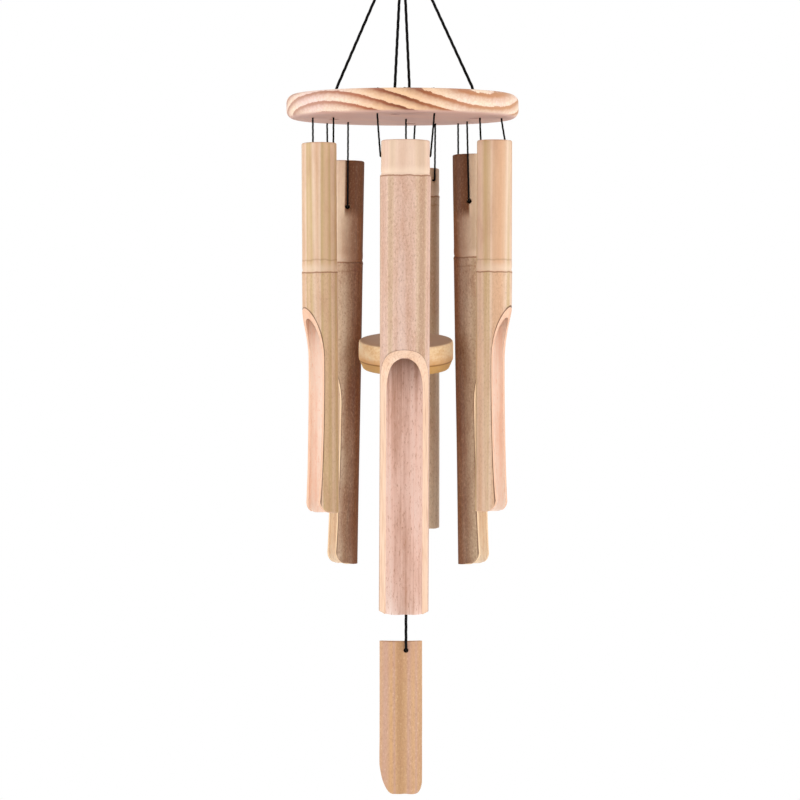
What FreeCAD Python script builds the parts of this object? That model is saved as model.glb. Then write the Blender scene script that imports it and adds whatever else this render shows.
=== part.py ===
"""Bamboo wind chime: six tubes round a wooden clapper, under a round pine platform.

Frame: millimetres, +Z up, +X right, +Y away from the front. The origin is where a hook carries the
hanging ring, on the inside of its top.
"""
import FreeCAD, Part
import Sketcher
import math
import os

from FreeCAD import Placement, Rotation, Vector

X_AXIS, Y_AXIS, Z_AXIS = Vector(1, 0, 0), Vector(0, 1, 0), Vector(0, 0, 1)

# Every driving dimension, in millimetres or degrees, grouped by the piece that it belongs to.
DIMENSIONS = {
    # hanging ring, cord loop and the knot that gathers the four suspension cords
    "ring_radius": 11.0,
    "ring_wire": 1.5,
    "loop_knot_radius": 5.0,
    "loop_knot_top": -32.0,
    "loop_knot_height": 11.0,
    "loop_knot_round": 2.2,
    # cords
    "cord_radius": 1.0,
    "tube_cord_radius": 0.65,
    "cord_gap": 0.35,
    "tight_bend": 1.3,
    "edge_bend": 3.0,
    "hole_play": 0.5,
    # platform
    "platform_top": -145.0,
    "platform_radius": 80.0,
    "platform_thickness": 16.5,
    "platform_round": 5.5,
    "suspension_circle": 50.0,
    "suspension_left_reach": 47.4,
    "suspension_turn": -6.0,
    "suspension_apex": -35.0,
    "recess_radius": 4.0,
    "recess_depth": 5.5,
    "suspension_knot_radius": 2.6,
    # tubes: what all of them share
    "septum": 2.0,
    "node_ridge": 0.5,
    "ridge_wire": 1.6,
    "knot_radius": 1.8,
    "tube_hole_radius": 1.15,
    # front tube
    "front_radius": 16.9,
    "front_wall": 3.7,
    "front_length": 321.6,
    "front_node": 23.4,
    "front_scoop": 142.2,
    "front_scoop_depth": 12.2,
    "front_runout": 26.0,
    "front_end_round": 7.0,
    "front_lip_round": 3.0,
    # the five thinner tubes
    "slim_radius": 12.3,
    "slim_wall": 2.6,
    "slim_scoop_depth": 8.0,
    "slim_runout": 75.0,
    "slim_end_round": 3.0,
    "slim_lip_round": 8.0,
    "front_left_length": 253.2,
    "front_left_node": 88.0,
    "front_left_scoop": 113.2,
    "front_right_length": 254.4,
    "front_right_node": 89.4,
    "front_right_scoop": 114.4,
    "rear_left_length": 282.2,
    "rear_left_node": 70.5,
    "rear_left_scoop": 138.0,
    "rear_right_length": 286.4,
    "rear_right_node": 71.5,
    "rear_right_scoop": 140.5,
    "rear_length": 253.4,
    "rear_node": 19.2,
    "rear_scoop": 122.0,
    # clapper on its centre cord
    "clapper_cord_x": 2.4,
    "link_length": 15.0,
    "clapper_radius": 32.5,
    "clapper_thickness": 20.0,
    "clapper_bevel": 6.2,
    "clapper_bevel_in": 3.2,
    "clapper_hole": 3.1,
    "clapper_middle": -323.5,
    "clapper_tilt": 10.7,
    "clapper_knot_radius": 3.6,
    "anchor_knot_radius": 3.0,
    # wind sail
    "sail_width": 29.4,
    "sail_height": 106.0,
    "sail_thickness": 3.0,
    "sail_curve": 24.0,
    "sail_middle_x": -1.2,
    "sail_top": -521.6,
    "sail_hole_drop": 6.5,
    "sail_hole_radius": 1.6,
    "sail_round_left": 10.0,
    "sail_round_right": 5.0,
    "sail_knot_radius": 2.4,
}

# Each tube: its top's centre, how far its foot stands aside in X, the way its scoop faces (degrees from
# +X), and its two cords. A cord is (platform hole x, y), (side of the tube that it enters, drop below
# the top): the side is in degrees from +X, and the drop in millimetres.
TUBES = {
    "front": {
        "top": (2.0, -62.0, -179.7), "aside": -1.2, "facing": -90, "size": "front",
        "cords": {"left": ((-17.2, -62.0), (180, 11.1)), "right": ((21.6, -62.0), (0, 11.1))},
    },
    "front_left": {
        "top": (-57.1, -26.0, -179.4), "aside": 1.7, "facing": 208, "size": "slim",
        "cords": {"left": ((-61.6, -13.4), (109.8, 14.0)), "right": ((-47.3, -17.1), (42, 14.0))},
    },
    "front_right": {
        "top": (63.1, -22.0, -177.4), "aside": -1.1, "facing": -24, "size": "slim",
        "cords": {"left": ((53.1, -12.4), (134, 9.0)), "right": ((67.8, -8.9), (46, 9.0))},
    },
    "rear_left": {
        "top": (-38.5, 48.0, -187.8), "aside": -5.1, "facing": 198, "size": "slim",
        "cords": {"left": ((-52.8, 48.0), (180, 32.8)), "right": ((-37.9, 34.7), (-86, 32.8))},
    },
    "rear_right": {
        "top": (47.0, 41.0, -183.6), "aside": 4.2, "facing": -21, "size": "slim",
        "cords": {"left": ((39.0, 51.2), (130, 33.5)), "right": ((44.9, 27.8), (-95.5, 33.5))},
    },
    "rear": {
        "top": (13.75, 60.5, -192.4), "aside": 0.0, "facing": 76, "size": "slim",
        "cords": {"left": ((8.9, 72.2), (126, 8.8)), "right": ((23.0, 50.9), (-46, 8.8))},
    },
}

doc = FreeCAD.newDocument("wind_chime")
sheet = doc.addObject("Spreadsheet::Sheet", "Sizes")
for row, (alias, value) in enumerate(DIMENSIONS.items(), start=1):
    sheet.set(f"A{row}", alias)
    sheet.set(f"B{row}", str(value))
    sheet.setAlias(f"B{row}", alias)
doc.recompute()

subparts = []


def size(alias):
    """A driving dimension, read back from the sheet."""
    return float(sheet.get(alias))


def keep(piece, label):
    """Name a finished sub-part, which also names its file."""
    piece.Label = label
    subparts.append(piece)
    return piece


def primitive(kind, name, place=None, **sizes):
    """A Part primitive whose sizes are expressions over the sheet."""
    made = doc.addObject(f"Part::{kind}", name)
    if place is not None:
        made.Placement = place
    for key, words in sizes.items():
        made.setExpression(key.replace("_", "."), words)
    return made


def combine(kind, name, shapes):
    """A Part boolean of several objects."""
    made = doc.addObject(f"Part::{kind}", name)
    made.Shapes = shapes
    return made


def cut(name, base, tool):
    made = doc.addObject("Part::Cut", name)
    made.Base, made.Tool = base, tool
    return made


def solid(label, shape):
    """A sub-part whose shape comes from Part's own functions."""
    made = doc.addObject("Part::Feature", label)
    made.Shape = shape
    return keep(made, label)


def turned(axis, degrees, at=Vector()):
    return Placement(at, Rotation(axis, degrees))


# ---------------------------------------------------------------- cords

def cord_path(points, bends):
    """Straight runs joined by tangent arcs. A bend of None is as large as its two runs allow."""
    edges, start, length = [], points[0], 0.0
    for before, corner, after, bend in zip(points, points[1:], points[2:], bends):
        inward, outward = corner - before, after - corner
        half_turn = inward.getAngle(outward) / 2
        radius = bend or 0.45 * min(inward.Length, outward.Length) / math.tan(half_turn)
        reach = radius * math.tan(half_turn)
        unit_in, unit_out = Vector(inward).normalize(), Vector(outward).normalize()
        arc_start, arc_end = corner - unit_in * reach, corner + unit_out * reach
        to_middle = Vector(unit_out - unit_in).normalize()
        arc_middle = corner + to_middle * radius * (1 / math.cos(half_turn) - 1)
        edges.append(Part.LineSegment(start, arc_start).toShape())
        edges.append(Part.Arc(arc_start, arc_middle, arc_end).toShape())
        length += (arc_start - start).Length + 2 * half_turn * radius
        print(f"    bend radius {radius:.1f} mm, turn {math.degrees(2 * half_turn):.0f} degrees")
        start = arc_end
    edges.append(Part.LineSegment(start, points[-1]).toShape())
    return Part.Wire(edges), length + (points[-1] - start).Length


def cord(label, points, radius, bends=(), round_top=False):
    """A plain tube along a route. A cord that swings at its first point is rounded there."""
    print(f"{label}: cord radius {radius} mm")
    path, length = cord_path(points, bends)
    section = Part.Face(Part.Wire(Part.makeCircle(radius, points[0], points[1] - points[0])))
    tube = path.makePipe(section)
    expected = math.pi * radius**2 * length
    if abs(tube.Volume / expected - 1) > 0.02:
        raise ValueError(f"{label}: volume {tube.Volume:.1f}, expected {expected:.1f}")
    if round_top:
        tube = tube.fuse(Part.makeSphere(radius, points[0])).removeSplitter()
    return solid(label, tube)


def knots(label, places, radius_alias):
    """Small round knots that share one node."""
    balls = []
    for number, place in enumerate(places):
        ball = primitive("Sphere", f"{label}_{number}", Placement(place, Rotation()),
                         Radius=f"Sizes.{radius_alias}")
        balls.append(ball)
    if len(balls) == 1:
        return keep(balls[0], label)
    group = doc.addObject("Part::Compound", label)
    group.Links = balls
    return keep(group, label)


# ---------------------------------------------------------------- hanging ring and loop

RING_MIDDLE = Vector(0, 0, -(size("ring_radius") - size("ring_wire")))
RING_FOOT = RING_MIDDLE - Vector(0, 0, size("ring_radius"))
KNOT_FOOT = size("loop_knot_top") - size("loop_knot_height")


def hanging_ring():
    """A closed steel ring, seen face on from the front."""
    ring = primitive("Torus", "ring", turned(X_AXIS, 90, RING_MIDDLE),
                     Radius1="Sizes.ring_radius", Radius2="Sizes.ring_wire")
    keep(ring, "hanging_ring")


def loop_and_knot():
    """The loop stands across the ring's wire, and both its legs end in the knot."""
    radius = size("cord_radius")
    reach = size("ring_wire") + size("cord_gap") + radius
    over = Part.Arc(RING_FOOT + Vector(0, -reach, 0), RING_FOOT + Vector(0, 0, reach),
                    RING_FOOT + Vector(0, reach, 0))
    leg_end = Vector(0, reach, size("loop_knot_top") - 2)
    front_end = Vector(0, -reach, leg_end.z)
    path = Part.Wire([
        Part.LineSegment(front_end, RING_FOOT + Vector(0, -reach, 0)).toShape(),
        over.toShape(),
        Part.LineSegment(RING_FOOT + Vector(0, reach, 0), leg_end).toShape(),
    ])
    print(f"hanging_loop: cord radius {radius} mm\n    bend radius {reach:.1f} mm, round the ring's wire")
    solid("hanging_loop", path.makePipe(Part.Face(Part.Wire(Part.makeCircle(radius, front_end, Z_AXIS)))))

    barrel = primitive("Cylinder", "knot_barrel", Placement(Vector(0, 0, KNOT_FOOT), Rotation()),
                       Radius="Sizes.loop_knot_radius", Height="Sizes.loop_knot_height")
    doc.recompute()
    rounded = doc.addObject("Part::Fillet", "knot_rounded")
    rounded.Base = barrel
    ends = [n for n, e in enumerate(barrel.Shape.Edges, start=1) if isinstance(e.Curve, Part.Circle)]
    rounded.Edges = [(n, size("loop_knot_round"), size("loop_knot_round")) for n in ends]
    keep(rounded, "loop_knot")


# ---------------------------------------------------------------- platform and its cords

PLATFORM_TOP = size("platform_top")
PLATFORM_FOOT = PLATFORM_TOP - size("platform_thickness")


def suspension_holes():
    """The four holes that carry the platform, by name."""
    holes = {}
    for name, quarter in (("right", 0), ("back", 90), ("left", 180), ("front", 270)):
        angle = math.radians(quarter + size("suspension_turn"))
        reach = size("suspension_left_reach" if name == "left" else "suspension_circle")
        holes[name] = Vector(math.cos(angle), math.sin(angle), 0) * reach
    return holes


def body_plane(body, role):
    return next(f for f in body.Origin.OriginFeatures if f.Role == role)


def body_sketch(body, name, role="XY_Plane", drop=0.0):
    sketch = body.newObject("Sketcher::SketchObject", name)
    sketch.AttachmentSupport = (body_plane(body, role), [""])
    sketch.MapMode = "FlatFace"
    sketch.AttachmentOffset = Placement(Vector(0, 0, -drop), Rotation())
    return sketch


def circles(sketch, centres, alias, extra=""):
    """Circles of one size in a sketch, their radius bound to the sheet."""
    for number, centre in enumerate(centres):
        index = sketch.addGeometry(Part.Circle(Vector(centre[0], centre[1], 0), Z_AXIS, size(alias)), False)
        name = f"radius_{number}"
        constraint = sketch.addConstraint(Sketcher.Constraint("Radius", index, size(alias)))
        sketch.renameConstraint(constraint, name)
        sketch.setExpression(f"Constraints.{name}", f"Sizes.{alias}{extra}")


def pocket(body, sketch, name, least, through=True, depth=None, upward=False):
    """A pocket that must take at least some volume away."""
    before = body.Shape.Volume
    made = body.newObject("PartDesign::Pocket", name)
    made.Profile = sketch
    made.Reversed = upward
    if through:
        made.Type = "ThroughAll"
    else:
        made.setExpression("Length", depth)
    doc.recompute()
    if before - body.Shape.Volume < least:
        raise ValueError(f"{name} cuts too little")


def platform_disc():
    """A round pine board with rounded rims, twelve tube cord holes, a centre hole and four recesses."""
    body = doc.addObject("PartDesign::Body", "platform")
    rim = body_sketch(body, "platform_rim")
    circles(rim, [(0, 0)], "platform_radius")
    pad = body.newObject("PartDesign::Pad", "platform_pad")
    pad.Profile = rim
    pad.Reversed = True
    pad.setExpression("Length", "Sizes.platform_thickness")
    doc.recompute()
    fillet = body.newObject("PartDesign::Fillet", "platform_edges")
    edges = [f"Edge{n}" for n, e in enumerate(pad.Shape.Edges, start=1) if isinstance(e.Curve, Part.Circle)]
    fillet.Base = (pad, edges)
    fillet.setExpression("Radius", "Sizes.platform_round")
    doc.recompute()

    tube_holes = [hole for tube in TUBES.values() for hole, _ in tube["cords"].values()]
    small = body_sketch(body, "tube_cord_holes")
    circles(small, tube_holes, "tube_cord_radius", " + Sizes.hole_play")
    pocket(body, small, "tube_cord_pocket", 100)
    wide = body_sketch(body, "suspension_cord_holes")
    carried = list(suspension_holes().values())
    circles(wide, carried + [(size("clapper_cord_x"), 0)], "cord_radius", " + Sizes.hole_play")
    pocket(body, wide, "suspension_pocket", 100)
    recess = body_sketch(body, "knot_recesses", drop=size("platform_thickness"))
    circles(recess, carried, "recess_radius")
    pocket(body, recess, "recess_pocket", 100, through=False, depth="Sizes.recess_depth", upward=True)
    body.Placement = Placement(Vector(0, 0, PLATFORM_TOP), Rotation())
    keep(body, "platform_disc")


def suspension_cords():
    """Four cords from their knots in the recesses, straight to the knot under the loop."""
    apex = Vector(0, 0, size("suspension_apex"))
    ceiling = PLATFORM_FOOT + size("recess_depth")
    cord_top = KNOT_FOOT - 1.5
    for name, hole in suspension_holes().items():
        edge = hole + Vector(0, 0, PLATFORM_TOP + 1.5)
        upper = edge + (apex - edge) * ((cord_top - edge.z) / (apex.z - edge.z))
        foot = hole + Vector(0, 0, ceiling - 1.0)
        cord(f"suspension_cord_{name}", [foot, edge, upper], size("cord_radius"), [size("edge_bend")])
    below = ceiling - size("suspension_knot_radius") - 0.1
    knots("suspension_knots", [h + Vector(0, 0, below) for h in suspension_holes().values()],
          "suspension_knot_radius")


def tube_cord_crossing(name, tube):
    """The stretch of a tube's cord that lies across the platform's top, with both ends in its holes."""
    (left, _), (right, _) = tube["cords"].values()
    radius = size("tube_cord_radius")
    low, high = PLATFORM_FOOT + 1.2, PLATFORM_TOP + radius + 0.15
    points = [Vector(*left, low), Vector(*left, high), Vector(*right, high), Vector(*right, low)]
    cord(f"{name}_cord_crossing", points, radius, [size("tight_bend")] * 2)


# ---------------------------------------------------------------- tubes

def tube_place(name, tube):
    """Where a tube stands: turned to its facing, then leaned so that its foot stands aside."""
    lean = -math.degrees(math.asin(tube["aside"] / size(f"{name}_length")))
    return Placement(Vector(*tube["top"]), Rotation(Y_AXIS, lean) * Rotation(Z_AXIS, tube["facing"]))


def bamboo_tube(name, tube):
    """A bamboo culm, from 0 down in its own frame, with its scoop facing +X."""
    kind = tube["size"]
    radius, depth = f"Sizes.{kind}_radius", f"Sizes.{kind}_scoop_depth"
    length, node = f"Sizes.{name}_length", f"Sizes.{name}_node"
    bore = f"Sizes.{kind}_radius - Sizes.{kind}_wall"
    runout = f"Sizes.{kind}_runout"
    # the height over which the scoop runs out from its full depth to the tube's surface
    scoop_foot = f"Sizes.{name}_scoop + sqrt(2 * {runout} * {depth} - {depth} * {depth})"

    culm = primitive("Cylinder", f"{name}_culm", Radius=radius, Height=length, Placement_Base_z=f"-{length}")
    ridge = primitive("Torus", f"{name}_ridge", Radius1=f"{radius} + Sizes.node_ridge - Sizes.ridge_wire",
                      Radius2="Sizes.ridge_wire", Placement_Base_z=f"-{node} - Sizes.septum / 2")
    upper = primitive("Cylinder", f"{name}_upper_bore", Radius=bore, Height=f"{node} + 1",
                      Placement_Base_z=f"-{node}")
    lower = primitive("Cylinder", f"{name}_lower_bore", Radius=bore, Placement_Base_z=f"-{length} - 1",
                      Height=f"{length} + 1 - {node} - Sizes.septum")
    slab = primitive("Box", f"{name}_slab", Length=f"2 * {radius}", Width=f"4 * {radius}",
                     Height=f"{length} + 1 - ({scoop_foot})", Placement_Base_x=f"{radius} - {depth}",
                     Placement_Base_y=f"-2 * {radius}", Placement_Base_z=f"-{length} - 1")
    sweep = primitive("Cylinder", f"{name}_sweep", turned(X_AXIS, 90), Radius=runout, Height=f"4 * {radius}",
                      Placement_Base_x=f"{radius} - {depth} + {runout}", Placement_Base_y=f"2 * {radius}",
                      Placement_Base_z=f"-({scoop_foot})")
    # what is left of a block outside a cylinder rounds the end of the scoop's two edges
    lip_round = f"Sizes.{kind}_lip_round"
    lip_block = primitive("Box", f"{name}_lip_block", Length=f"{lip_round} + 1", Width=f"4 * {radius}",
                          Height=f"{lip_round} + 1", Placement_Base_x=f"{radius} - {depth} - {lip_round}",
                          Placement_Base_y=f"-2 * {radius}", Placement_Base_z=f"-{length} - 1")
    lip_curve = primitive("Cylinder", f"{name}_lip_curve", turned(X_AXIS, 90), Radius=lip_round,
                          Height=f"4 * {radius}", Placement_Base_x=f"{radius} - {depth} - {lip_round}",
                          Placement_Base_y=f"2 * {radius}", Placement_Base_z=f"-{length} + {lip_round}")
    lip = cut(f"{name}_lip", lip_block, lip_curve)
    drills = []
    for side, (_, (azimuth, drop)) in tube["cords"].items():
        direction = Rotation(Z_AXIS, azimuth - tube["facing"]).multVec(X_AXIS)
        start = direction * size(f"{kind}_radius") * 0.5 - Vector(0, 0, drop)
        outward = Placement(start, Rotation(Z_AXIS, direction))
        drills.append(primitive("Cylinder", f"{name}_{side}_drill", outward, Radius="Sizes.tube_hole_radius",
                                Height=radius))
    outside = combine("MultiFuse", f"{name}_outside", [culm, ridge])
    inside = combine("MultiFuse", f"{name}_inside", [upper, lower, slab, sweep, lip] + drills)
    blank = cut(f"{name}_blank", outside, inside)

    # a block with two rounded lower edges rounds the tongue's corners
    block = primitive("Box", f"{name}_block", Length=f"4 * {radius}", Width=f"2 * {radius} + 2",
                      Height=f"{length} + 2", Placement_Base_x=f"-2 * {radius}",
                      Placement_Base_y=f"-{radius} - 1", Placement_Base_z=f"-{length}")
    doc.recompute()
    rounded = doc.addObject("Part::Fillet", f"{name}_rounded_block")
    rounded.Base = block
    end_round = size(f"{kind}_end_round")
    foot = block.Shape.BoundBox.ZMin
    rounded.Edges = [
        (n, end_round, end_round) for n, e in enumerate(block.Shape.Edges, start=1)
        if abs(e.BoundBox.ZMax - foot) < 0.01 and e.BoundBox.XLength > e.BoundBox.YLength
    ]
    made = combine("MultiCommon", f"{name}_culm_finished", [blank, rounded])
    made.Placement = tube_place(name, tube)
    keep(made, f"{name}_tube")


def tube_cords(name, tube):
    """Two strands from the platform's holes, each bent through the tube's wall to a knot inside."""
    place, kind = tube_place(name, tube), tube["size"]
    outer, wall, radius = size(f"{kind}_radius"), size(f"{kind}_wall"), size("tube_cord_radius")
    knot_places = []
    for side, (hole, (azimuth, drop)) in tube["cords"].items():
        direction = Rotation(Z_AXIS, azimuth - tube["facing"]).multVec(X_AXIS)
        level = Vector(0, 0, -drop)
        corner = place.multVec(direction * (outer + size("cord_gap") + radius) + level)
        end = place.multVec(direction * (outer - wall - 1.2) + level)
        cord(f"{name}_cord_{side}", [Vector(*hole, PLATFORM_FOOT), corner, end], radius,
             [size("tight_bend")], round_top=True)
        inset = outer - wall - size("knot_radius") - 0.4
        knot_places.append(place.multVec(direction * inset + level))
    knots(f"{name}_cord_knots", knot_places, "knot_radius")


# ---------------------------------------------------------------- clapper

LINK_FOOT = PLATFORM_FOOT - size("link_length")
CLAPPER_X = size("clapper_cord_x")
CLAPPER_PLACE = turned(X_AXIS, size("clapper_tilt"), Vector(CLAPPER_X, 0, size("clapper_middle")))
CLAPPER_HALF = size("clapper_thickness") / 2
KNOT_DROP = CLAPPER_HALF + size("clapper_knot_radius") + 0.9
SAIL_PIVOT = Vector(CLAPPER_X, 0, size("clapper_middle") - KNOT_DROP - size("clapper_knot_radius") - 1.6)


def clapper_disc():
    """A turned disc with a bevelled lower edge, tipped towards the front on its cord."""
    body = doc.addObject("PartDesign::Body", "clapper")
    profile = body_sketch(body, "clapper_profile", "XZ_Plane")
    radius, hole, bevel = size("clapper_radius"), size("clapper_hole"), size("clapper_bevel")
    half, inward, soften = CLAPPER_HALF, size("clapper_bevel_in"), 1.0
    corners = [
        (hole, half), (radius - soften, half), (radius, half - soften), (radius, bevel - half),
        (radius - inward, -half), (hole, -half),
    ]
    count = len(corners)
    for first, second in zip(corners, corners[1:] + corners[:1]):
        profile.addGeometry(Part.LineSegment(Vector(*first, 0), Vector(*second, 0)), False)
    for n in range(count):
        profile.addConstraint(Sketcher.Constraint("Coincident", n, 2, (n + 1) % count, 1))
    measures = [
        ("DistanceX", 0, 1, hole, "Sizes.clapper_hole"),
        ("DistanceX", 2, 1, radius, "Sizes.clapper_radius"),
        ("DistanceY", 0, 1, half, "Sizes.clapper_thickness / 2"),
        ("DistanceX", 4, 1, radius - inward, "Sizes.clapper_radius - Sizes.clapper_bevel_in"),
    ]
    for number, (kind, line, end, value, words) in enumerate(measures):
        made = profile.addConstraint(Sketcher.Constraint(kind, -1, 1, line, end, value))
        profile.renameConstraint(made, f"measure_{number}")
        profile.setExpression(f"Constraints.measure_{number}", words)
    turn = body.newObject("PartDesign::Revolution", "clapper_turning")
    turn.Profile = profile
    turn.ReferenceAxis = (profile, ["V_Axis"])
    turn.Angle = 360
    body.Placement = CLAPPER_PLACE
    keep(body, "clapper_disc")


def centre_cords():
    """The anchor on the platform, the short link, and the cord that runs through the clapper."""
    radius = size("tube_cord_radius")
    rest_height = PLATFORM_TOP + size("anchor_knot_radius") + 0.1
    ball = primitive("Sphere", "anchor_ball", Placement(Vector(CLAPPER_X, 0, rest_height), Rotation()),
                     Radius="Sizes.anchor_knot_radius")
    stem = primitive("Cylinder", "anchor_stem", Radius="Sizes.cord_radius",
                     Height="Sizes.platform_thickness - 2 + 1",
                     place=Placement(Vector(CLAPPER_X, 0, PLATFORM_FOOT + 2), Rotation()))
    keep(combine("MultiFuse", "anchor", [ball, stem]), "clapper_anchor_knot")
    link_top = Vector(CLAPPER_X, 0, PLATFORM_FOOT)
    link_end = Vector(CLAPPER_X, 0, LINK_FOOT + radius + 0.4)
    cord("clapper_cord_link", [link_top, link_end], radius, round_top=True)
    above = Vector(CLAPPER_X, 0, size("clapper_middle") + KNOT_DROP)
    below = Vector(CLAPPER_X, 0, size("clapper_middle") - KNOT_DROP)
    cord("clapper_cord", [Vector(CLAPPER_X, 0, LINK_FOOT), below], radius, round_top=True)
    knots("clapper_knots", [above, below], "clapper_knot_radius")


# ---------------------------------------------------------------- sail

SAIL_FACE = size("cord_radius") + 0.3
SAIL_MIDDLE = Vector(size("sail_middle_x"), SAIL_FACE, size("sail_top"))
SAIL_HOLE = Vector(CLAPPER_X, 0, size("sail_top") - size("sail_hole_drop"))


def wind_sail():
    """A strip split from a thick culm, bulging to the front, with rounded lower corners and one hole."""
    axis = Placement(SAIL_MIDDLE + Vector(0, size("sail_curve"), -size("sail_height") - 1), Rotation())
    skin = primitive("Cylinder", "sail_skin", axis, Radius="Sizes.sail_curve", Height="Sizes.sail_height + 2")
    hollow = primitive("Cylinder", "sail_hollow", axis, Radius="Sizes.sail_curve - Sizes.sail_thickness",
                       Height="Sizes.sail_height + 2")
    shell = cut("sail_shell", skin, hollow)
    corner = SAIL_MIDDLE - Vector(size("sail_width") / 2, 2, size("sail_height"))
    outline = primitive("Box", "sail_outline", Placement(corner, Rotation()), Length="Sizes.sail_width",
                        Width="Sizes.sail_curve - 4", Height="Sizes.sail_height")
    doc.recompute()
    rounded = doc.addObject("Part::Fillet", "sail_rounded")
    rounded.Base = outline
    foot = [(n, e) for n, e in enumerate(outline.Shape.Edges, start=1)
            if e.BoundBox.ZMax < corner.z + 0.01 and e.BoundBox.YLength > e.BoundBox.XLength]
    rounded.Edges = [
        (n, radius, radius) for n, e in foot
        for radius in [size("sail_round_left" if e.BoundBox.XMax < SAIL_MIDDLE.x else "sail_round_right")]
    ]
    strip = combine("MultiCommon", "sail_strip", [shell, rounded])
    drill = primitive("Cylinder", "sail_drill", turned(X_AXIS, -90, SAIL_HOLE - Vector(0, 5, 0)),
                      Radius="Sizes.sail_hole_radius", Height="20")
    keep(cut("sail_drilled", strip, drill), "wind_sail")


def sail_cord():
    """From under the clapper to the sail's hole, through it, to a knot behind."""
    behind = SAIL_FACE + size("sail_thickness") + 2.0
    cord("sail_cord", [SAIL_PIVOT, SAIL_HOLE, SAIL_HOLE + Vector(0, behind, 0)], size("cord_radius"),
         [size("tight_bend")], round_top=True)
    knots("sail_knot", [SAIL_HOLE + Vector(0, behind + 1.2, 0)], "sail_knot_radius")


# ---------------------------------------------------------------- build, check, write

hanging_ring()
loop_and_knot()
platform_disc()
suspension_cords()
for tube_name, tube_spec in TUBES.items():
    bamboo_tube(tube_name, tube_spec)
    tube_cord_crossing(tube_name, tube_spec)
    tube_cords(tube_name, tube_spec)
centre_cords()
clapper_disc()
sail_cord()
wind_sail()
doc.recompute()

for made in doc.Objects:
    if "Invalid" in made.State or "Error" in made.State:
        raise RuntimeError(f"{made.Label} failed: {made.State}")
os.makedirs("parts", exist_ok=True)
for piece in subparts:
    if piece.Shape.isNull() or not piece.Shape.isValid():
        raise RuntimeError(f"{piece.Label} has no valid shape")
    piece.Shape.exportStep(f"parts/{piece.Label}.step")
print(f"{len(subparts)} sub-parts written")
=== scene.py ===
import math

import bmesh
import bpy
from mathutils import Matrix, Vector, noise


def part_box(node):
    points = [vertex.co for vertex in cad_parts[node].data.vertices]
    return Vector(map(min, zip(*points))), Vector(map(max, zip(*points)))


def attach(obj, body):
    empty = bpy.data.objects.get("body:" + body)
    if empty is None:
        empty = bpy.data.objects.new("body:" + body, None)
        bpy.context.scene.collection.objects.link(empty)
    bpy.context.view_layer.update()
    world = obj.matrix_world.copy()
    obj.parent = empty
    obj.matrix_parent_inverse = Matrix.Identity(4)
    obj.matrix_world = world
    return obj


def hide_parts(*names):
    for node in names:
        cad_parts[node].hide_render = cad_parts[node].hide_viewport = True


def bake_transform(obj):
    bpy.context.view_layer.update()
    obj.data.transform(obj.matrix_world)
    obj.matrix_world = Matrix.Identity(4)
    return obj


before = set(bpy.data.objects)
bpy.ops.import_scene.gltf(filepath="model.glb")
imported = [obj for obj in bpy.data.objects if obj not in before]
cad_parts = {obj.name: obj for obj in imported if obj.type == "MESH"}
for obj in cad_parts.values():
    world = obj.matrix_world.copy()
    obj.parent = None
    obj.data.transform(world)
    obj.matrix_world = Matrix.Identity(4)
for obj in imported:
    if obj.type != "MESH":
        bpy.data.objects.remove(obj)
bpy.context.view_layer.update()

MM = 0.001
Y_AXIS, Z_AXIS = Vector((0, 1, 0)), Vector((0, 0, 1))
scene = bpy.context.scene


def node_box(node):
    """A CAD node's lowest and highest corners, in millimetres."""
    low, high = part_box(node)
    return Vector(low) / MM, Vector(high) / MM


PLATFORM_FOOT, PLATFORM_TOP = (corner.z for corner in node_box("platform_disc"))

# The driving sizes that the pieces share with the CAD model.
CORD, TUBE_CORD, CORD_GAP = 1.0, 0.65, 0.35
RING_FOOT, RING_WIRE = -20.5, 1.5
KNOT_TOP, KNOT_FOOT, KNOT_RADIUS = -32.0, -43.0, 5.0
SUSPENSION_CIRCLE, SUSPENSION_LEFT, SUSPENSION_TURN, SUSPENSION_APEX, RECESS = 50.0, 47.4, -6.0, -35.0, 5.5
CLAPPER_X, CLAPPER_MIDDLE, CLAPPER_TILT = 2.4, -323.5, 10.7
CLAPPER_RADIUS, CLAPPER_THICKNESS, CLAPPER_BEVEL, CLAPPER_BEVEL_IN = 32.5, 20.0, 6.2, 3.2
CLAPPER_HOLE = 3.1
LINK_FOOT = PLATFORM_FOOT - 15.0
# A knot's ball and its strand's radius.
SUSPENSION_KNOT, TUBE_KNOT, SAIL_KNOT = (2.6, 0.95), (1.9, 0.65), (2.4, 0.85)
CLAPPER_KNOT, ANCHOR_KNOT = (3.6, 1.15), (3.0, 1.0)
KNOT_DROP = CLAPPER_THICKNESS / 2 + CLAPPER_KNOT[0] + 0.9
SAIL_PIVOT = CLAPPER_MIDDLE - KNOT_DROP - CLAPPER_KNOT[0] - 1.6
TUBE_HOLE, SAIL_HOLE_RADIUS, EDGE_BEVEL = 1.9, 1.7, 0.45
SAIL_X, SAIL_FACE, SAIL_TOP, SAIL_WIDTH, SAIL_HEIGHT = -1.2, 1.3, -521.6, 29.4, 106.0
SAIL_CURVE, SAIL_THICKNESS, SAIL_HOLE = 24.0, 3.0, -528.1

# A culm's section, and the shape of the scoop that is cut from it: the outer arch starts at the scoop's
# top and runs out over one radius, and the inner arch starts lower and runs out over another.
THIN_CULM = dict(radius=12.3, wall=2.6, runout=75.0, inner_drop=7.0, end_round=3.0, end_share=1.0,
                 lip_round=8.0, step=0.3)
SECTIONS = {
    "front": dict(radius=16.9, wall=3.7, depth=12.2, runout=26.0, inner_drop=5.4, inner_runout=40.0,
                  end_round=12.0, end_share=0.5, lip_round=3.0, step=1.0, flare=0.0),
    "side": dict(THIN_CULM, depth=9.1, inner_runout=64.0, flare=3.2),
    "slim": dict(THIN_CULM, depth=7.6, inner_runout=68.0, flare=1.7),
}

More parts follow.
